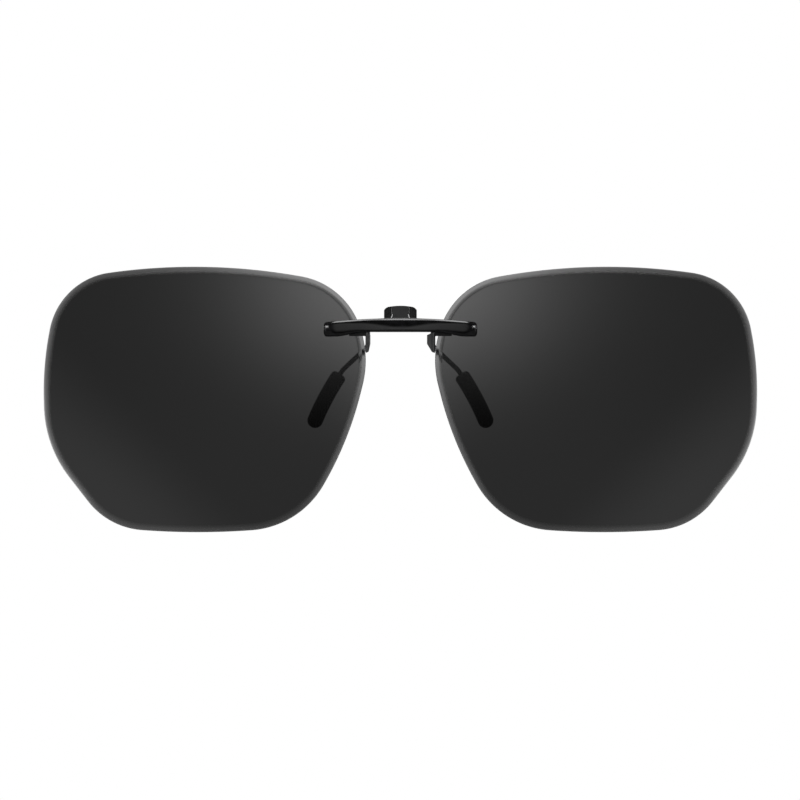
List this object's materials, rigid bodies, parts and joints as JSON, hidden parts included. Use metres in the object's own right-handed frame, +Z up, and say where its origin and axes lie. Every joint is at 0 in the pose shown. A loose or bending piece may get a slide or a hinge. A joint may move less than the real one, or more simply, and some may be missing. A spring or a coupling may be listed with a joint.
{
  "type": "clip-on sunglasses",
  "caption": "Rimless clip-on sunglasses: tinted lenses screwed to a slim arched bridge bar, with a sprung pinch lever whose rubber-tipped prongs grip spectacles from behind.",
  "frame": {"origin": "midway between the two rubber grips, at the mid-height of the lenses, in the plane of the lens backs at the bridge where the grips close", "axes": "+X to the right of someone facing the front, +Y rearward towards the spectacles, +Z up as worn"},
  "size_m": [0.1424, 0.0111, 0.0528],
  "materials": {
    "gunmetal": "gloss black gunmetal plating",
    "lens_tint": "polished smoke-grey tint with a ground bevel round the edge",
    "steel": "bright drawn steel",
    "nylon": "natural nylon",
    "silicone": "satin black silicone"
  },
  "bodies": {
    "frame": {"bridge_bar": "gunmetal", "lens_left": "lens_tint", "lens_right": "lens_tint", "screw_left_inner": "steel", "screw_left_outer": "steel", "screw_right_inner": "steel", "screw_right_outer": "steel", "bush_left_inner": "nylon", "bush_left_outer": "nylon", "bush_right_inner": "nylon", "bush_right_outer": "nylon", "washer_left_inner": "nylon", "washer_left_outer": "nylon", "washer_right_inner": "nylon", "washer_right_outer": "nylon", "ear_bracket_left": "gunmetal", "ear_bracket_right": "gunmetal", "hinge_pin": "steel", "torsion_spring": "steel"},
    "lever": {"clip_lever": "gunmetal", "prong_wire_left": "gunmetal", "prong_wire_right": "gunmetal", "grip_sleeve_left": "silicone", "grip_sleeve_right": "silicone"}
  },
  "joints": [
    {"name": "lever_pivot", "type": "hinge", "parent": "frame", "child": "lever", "pos_m": [0, 0.002, 0.015], "axis": [1, 0, 0], "range_deg": [0, 24], "stiffness_Nm_per_rad": 0.02, "springref_deg": -24.06, "deforming": ["torsion_spring"]}
  ]
}
